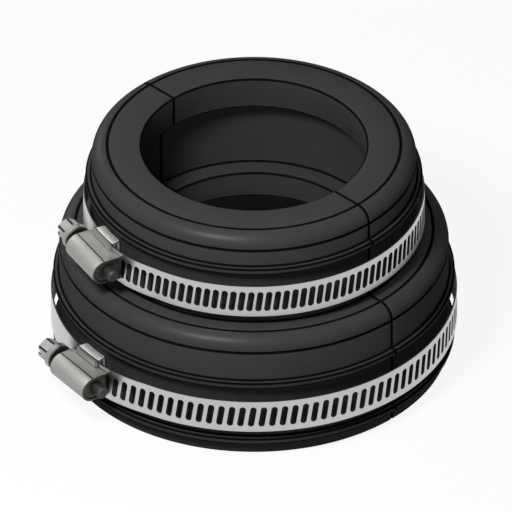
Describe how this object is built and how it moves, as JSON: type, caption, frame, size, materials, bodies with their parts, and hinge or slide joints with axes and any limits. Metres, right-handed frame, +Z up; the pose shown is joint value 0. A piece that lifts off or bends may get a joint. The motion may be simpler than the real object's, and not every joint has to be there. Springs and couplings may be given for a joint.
{
  "type": "flexible reducing pipe coupling",
  "caption": "Stepped black rubber sleeve joining a small pipe to a larger one, with a slotted steel worm-drive band clamp loose in the channel of each end.",
  "frame": {"origin": "centre of the large mouth, in the flat bottom face", "axes": "+Z up the pipe axis toward the small mouth; the mould parts on the XZ plane, so its seam is at +X and -X; the clamp housings are near -Y"},
  "size_m": [0.16, 0.1733, 0.0943],
  "materials": {
    "rubber": "moulded matt rubber",
    "band_steel": "rolled stainless strip",
    "housing_steel": "pressed stainless sheet",
    "screw_steel": "machined stainless steel"
  },
  "bodies": {
    "sleeve": {"sleeve": "rubber"},
    "upper_clamp": {"upper_band": "band_steel", "upper_housing": "housing_steel", "upper_saddle": "housing_steel"},
    "upper_screw": {"upper_screw": "screw_steel"},
    "lower_clamp": {"lower_band": "band_steel", "lower_housing": "housing_steel", "lower_saddle": "housing_steel"},
    "lower_screw": {"lower_screw": "screw_steel"}
  },
  "joints": [
    {"name": "upper_clamp_swivel", "type": "hinge", "parent": "sleeve", "child": "upper_clamp", "pos_m": [0, 0, 0.066], "axis": [0, 0, 1], "continuous": true},
    {"name": "upper_screw_turn", "type": "hinge", "parent": "upper_clamp", "child": "upper_screw", "pos_m": [-0.02024, -0.06967, 0.066], "axis": [0.9603, -0.279, 0], "range_deg": [-1080, 1800], "deforming": ["upper_band"]},
    {"name": "lower_clamp_swivel", "type": "hinge", "parent": "sleeve", "child": "lower_clamp", "pos_m": [0, 0, 0.0194], "axis": [0, 0, 1], "continuous": true},
    {"name": "lower_screw_turn", "type": "hinge", "parent": "lower_clamp", "child": "lower_screw", "pos_m": [-0.01407, -0.08408, 0.0194], "axis": [0.9863, -0.165, 0], "range_deg": [-1080, 1440], "deforming": ["lower_band"]}
  ]
}
